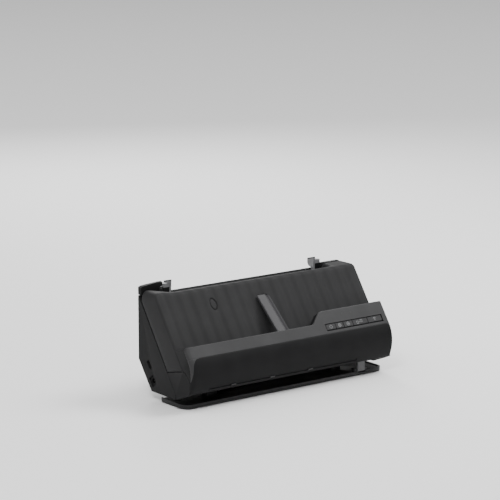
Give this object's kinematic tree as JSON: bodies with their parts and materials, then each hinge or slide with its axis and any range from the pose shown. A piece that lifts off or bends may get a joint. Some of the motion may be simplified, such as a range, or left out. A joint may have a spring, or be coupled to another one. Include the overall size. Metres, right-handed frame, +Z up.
{
  "type": "sheet fed document scanner",
  "caption": "Desktop sheet fed document scanner: slanted ribbed front cover that swings open, curved front panel with a button row, top input slot with edge guides, tilting stand.",
  "frame": {"origin": "middle of the footprint on the table", "axes": "+X along the width to the right as seen from the front, +Y to the back, +Z up"},
  "size_m": [0.295, 0.112, 0.1314],
  "materials": {
    "cover": "fine grained black-grey moulded plastic",
    "housing": "fine grained dark moulded plastic",
    "panel": "satin near-black moulded plastic",
    "strip": "satin dark grey moulded plastic",
    "button": "satin dark grey key caps",
    "arm": "satin mid grey moulded plastic",
    "guide_grey": "satin light grey moulded plastic",
    "black": "matte black moulded plastic",
    "path": "smooth dark paper guide plastic",
    "stand": "satin dark moulded plastic",
    "frame_grey": "plain grey moulded plastic",
    "gear": "natural acetal",
    "pinch": "natural acetal rollers",
    "tyre_rubber": "ground rubber",
    "foot_rubber": "moulded rubber",
    "steel": "turned or rolled steel",
    "bush": "sintered bronze",
    "motor_can": "plated can",
    "sensor": "black moulded sensor bar",
    "glass": "clear float glass",
    "board": "green solder mask",
    "light": "clear moulded light pipe"
  },
  "bodies": {
    "base": {"base_plate": "stand", "base_feet": "foot_rubber", "tilt_pins": "steel"},
    "tilt_lever": {"tilt_lever": "arm"},
    "rear_unit": {"rear_housing": "housing", "rear_guide": "path", "input_tray": "housing", "chassis_left": "steel", "chassis_right": "steel", "side_cover_left": "housing", "side_cover_right": "housing", "rear_sensor": "sensor", "rear_glass": "glass", "main_board": "board", "data_socket": "black", "power_inlet": "black", "motor": "motor_can", "shaft_bushes": "bush", "hinge_pins": "steel", "rear_screws": "steel"},
    "motor_pinion": {"motor_pinion": "gear"},
    "lower_idler": {"lower_idler": "gear"},
    "upper_idler": {"upper_idler": "gear"},
    "lower_roller": {"lower_shaft": "steel", "lower_tyres": "tyre_rubber", "lower_gear": "gear"},
    "upper_roller": {"upper_shaft": "steel", "upper_tyres": "tyre_rubber", "upper_gear": "gear"},
    "feed_roller": {"feed_shaft": "steel", "feed_tyres": "tyre_rubber", "feed_gear": "gear"},
    "edge_guide_left": {"edge_guide_left": "guide_grey"},
    "edge_guide_right": {"edge_guide_right": "guide_grey"},
    "guide_pinion": {"guide_pinion": "gear"},
    "path_flap": {"path_flap": "black"},
    "release_lever": {"release_lever": "black"},
    "front_unit": {"cover_shell": "cover", "cover_inner": "path", "front_panel": "panel", "control_panel": "strip", "hinge_frame_left": "frame_grey", "hinge_frame_right": "frame_grey", "turn_guide": "path", "front_sensor": "sensor", "front_glass": "glass", "button_board": "board", "light_pipes": "light", "front_screws": "steel"},
    "separation_roller": {"separation_roller": "tyre_rubber"},
    "upper_pinch": {"upper_pinch": "pinch"},
    "lower_pinch": {"lower_pinch": "pinch"},
    "exit_roller": {"exit_roller": "tyre_rubber"},
    "exit_pinch": {"exit_pinch": "pinch"},
    "button_1": {"button_1": "button"},
    "button_2": {"button_2": "button"},
    "button_3": {"button_3": "button"},
    "button_4": {"button_4": "button"},
    "button_5": {"button_5": "button"},
    "output_arm": {"output_arm": "arm"}
  },
  "joints": [
    {"name": "tilt", "type": "hinge", "parent": "base", "child": "rear_unit", "pos_m": [0, 0.02, 0.024], "axis": [-1, 0, 0], "range_deg": [0, 25]},
    {"name": "lever_fold", "type": "hinge", "parent": "base", "child": "tilt_lever", "pos_m": [0, -0.036, 0.0066], "axis": [1, 0, 0], "range_deg": [0, 10]},
    {"name": "motor_turn", "type": "hinge", "parent": "rear_unit", "child": "motor_pinion", "pos_m": [0, 0.01485, 0.03144], "axis": [1, 0, 0], "continuous": true},
    {"name": "lower_idler_turn", "type": "hinge", "parent": "rear_unit", "child": "lower_idler", "pos_m": [0, 0.0042, 0.0389], "axis": [1, 0, 0], "continuous": true},
    {"name": "upper_idler_turn", "type": "hinge", "parent": "rear_unit", "child": "upper_idler", "pos_m": [0, 0.02198, 0.0643], "axis": [1, 0, 0], "continuous": true},
    {"name": "lower_roller_turn", "type": "hinge", "parent": "rear_unit", "child": "lower_roller", "pos_m": [0, -0.00498, 0.02579], "axis": [1, 0, 0], "continuous": true},
    {"name": "upper_roller_turn", "type": "hinge", "parent": "rear_unit", "child": "upper_roller", "pos_m": [0, 0.01338, 0.05201], "axis": [1, 0, 0], "continuous": true},
    {"name": "feed_roller_turn", "type": "hinge", "parent": "rear_unit", "child": "feed_roller", "pos_m": [0, 0.03059, 0.07658], "axis": [1, 0, 0], "continuous": true},
    {"name": "guide_left_slide", "type": "slide", "parent": "rear_unit", "child": "edge_guide_left", "axis": [1, 0, 0], "range_m": [0, 0.078]},
    {"name": "guide_right_slide", "type": "slide", "parent": "rear_unit", "child": "edge_guide_right", "axis": [-1, 0, 0], "range_m": [0, 0.078]},
    {"name": "guide_pinion_turn", "type": "hinge", "parent": "rear_unit", "child": "guide_pinion", "pos_m": [0, 0.04005, 0.09115], "axis": [0, -0.8192, 0.5736], "continuous": true},
    {"name": "flap_swing", "type": "hinge", "parent": "rear_unit", "child": "path_flap", "pos_m": [0, -0.01473, 0.01797], "axis": [1, 0, 0], "range_deg": [0, 40]},
    {"name": "release_push", "type": "hinge", "parent": "rear_unit", "child": "release_lever", "pos_m": [0, 0.0476, 0.1194], "axis": [-1, 0, 0], "range_deg": [0, 15], "stiffness_Nm_per_rad": 0.05},
    {"name": "front_open", "type": "hinge", "parent": "rear_unit", "child": "front_unit", "pos_m": [0, -0.043, 0.025], "axis": [1, 0, 0], "range_deg": [0, 35]},
    {"name": "separation_turn", "type": "hinge", "parent": "front_unit", "child": "separation_roller", "pos_m": [0, 0.01723, 0.08593], "axis": [1, 0, 0], "continuous": true},
    {"name": "upper_pinch_turn", "type": "hinge", "parent": "front_unit", "child": "upper_pinch", "pos_m": [0, 0.00248, 0.05964], "axis": [1, 0, 0], "continuous": true},
    {"name": "lower_pinch_turn", "type": "hinge", "parent": "front_unit", "child": "lower_pinch", "pos_m": [0, -0.01587, 0.03342], "axis": [1, 0, 0], "continuous": true},
    {"name": "exit_roller_turn", "type": "hinge", "parent": "front_unit", "child": "exit_roller", "pos_m": [0, -0.02513, 0.05211], "axis": [1, 0, 0], "continuous": true},
    {"name": "exit_pinch_turn", "type": "hinge", "parent": "front_unit", "child": "exit_pinch", "pos_m": [0, -0.03413, 0.05842], "axis": [1, 0, 0], "continuous": true},
    {"name": "arm_swing", "type": "hinge", "parent": "front_unit", "child": "output_arm", "pos_m": [0, -0.03839, 0.06873], "axis": [1, 0, 0], "range_deg": [0, 42]},
    {"name": "button_1_press", "type": "slide", "parent": "front_unit", "child": "button_1", "axis": [0, 0.8192, -0.5736], "range_m": [0, 0.0008], "stiffness_N_per_m": 1500},
    {"name": "button_2_press", "type": "slide", "parent": "front_unit", "child": "button_2", "axis": [0, 0.8192, -0.5736], "range_m": [0, 0.0008], "stiffness_N_per_m": 1500},
    {"name": "button_3_press", "type": "slide", "parent": "front_unit", "child": "button_3", "axis": [0, 0.8192, -0.5736], "range_m": [0, 0.0008], "stiffness_N_per_m": 1500},
    {"name": "button_4_press", "type": "slide", "parent": "front_unit", "child": "button_4", "axis": [0, 0.8192, -0.5736], "range_m": [0, 0.0008], "stiffness_N_per_m": 1500},
    {"name": "button_5_press", "type": "slide", "parent": "front_unit", "child": "button_5", "axis": [0, 0.8192, -0.5736], "range_m": [0, 0.0008], "stiffness_N_per_m": 1500}
  ],
  "couplings": [
    {"joint": "motor_turn", "follows": "lower_roller_turn", "ratio": 1.5},
    {"joint": "lower_idler_turn", "follows": "lower_roller_turn", "ratio": -1.2857},
    {"joint": "upper_idler_turn", "follows": "lower_roller_turn", "ratio": -1.5},
    {"joint": "upper_roller_turn", "follows": "lower_roller_turn", "ratio": 1},
    {"joint": "feed_roller_turn", "follows": "lower_roller_turn", "ratio": 1},
    {"joint": "separation_turn", "follows": "lower_roller_turn", "ratio": -1},
    {"joint": "upper_pinch_turn", "follows": "lower_roller_turn", "ratio": -1.6},
    {"joint": "lower_pinch_turn", "follows": "lower_roller_turn", "ratio": -1.6},
    {"joint": "exit_roller_turn", "follows": "lower_roller_turn", "ratio": -1.4035},
    {"joint": "exit_pinch_turn", "follows": "lower_roller_turn", "ratio": 1.6},
    {"joint": "guide_right_slide", "follows": "guide_left_slide", "ratio": 1},
    {"joint": "guide_pinion_turn", "follows": "guide_left_slide", "rad_per_m": -178.57},
    {"joint": "flap_swing", "follows": "tilt", "ratio": 1.6}
  ]
}
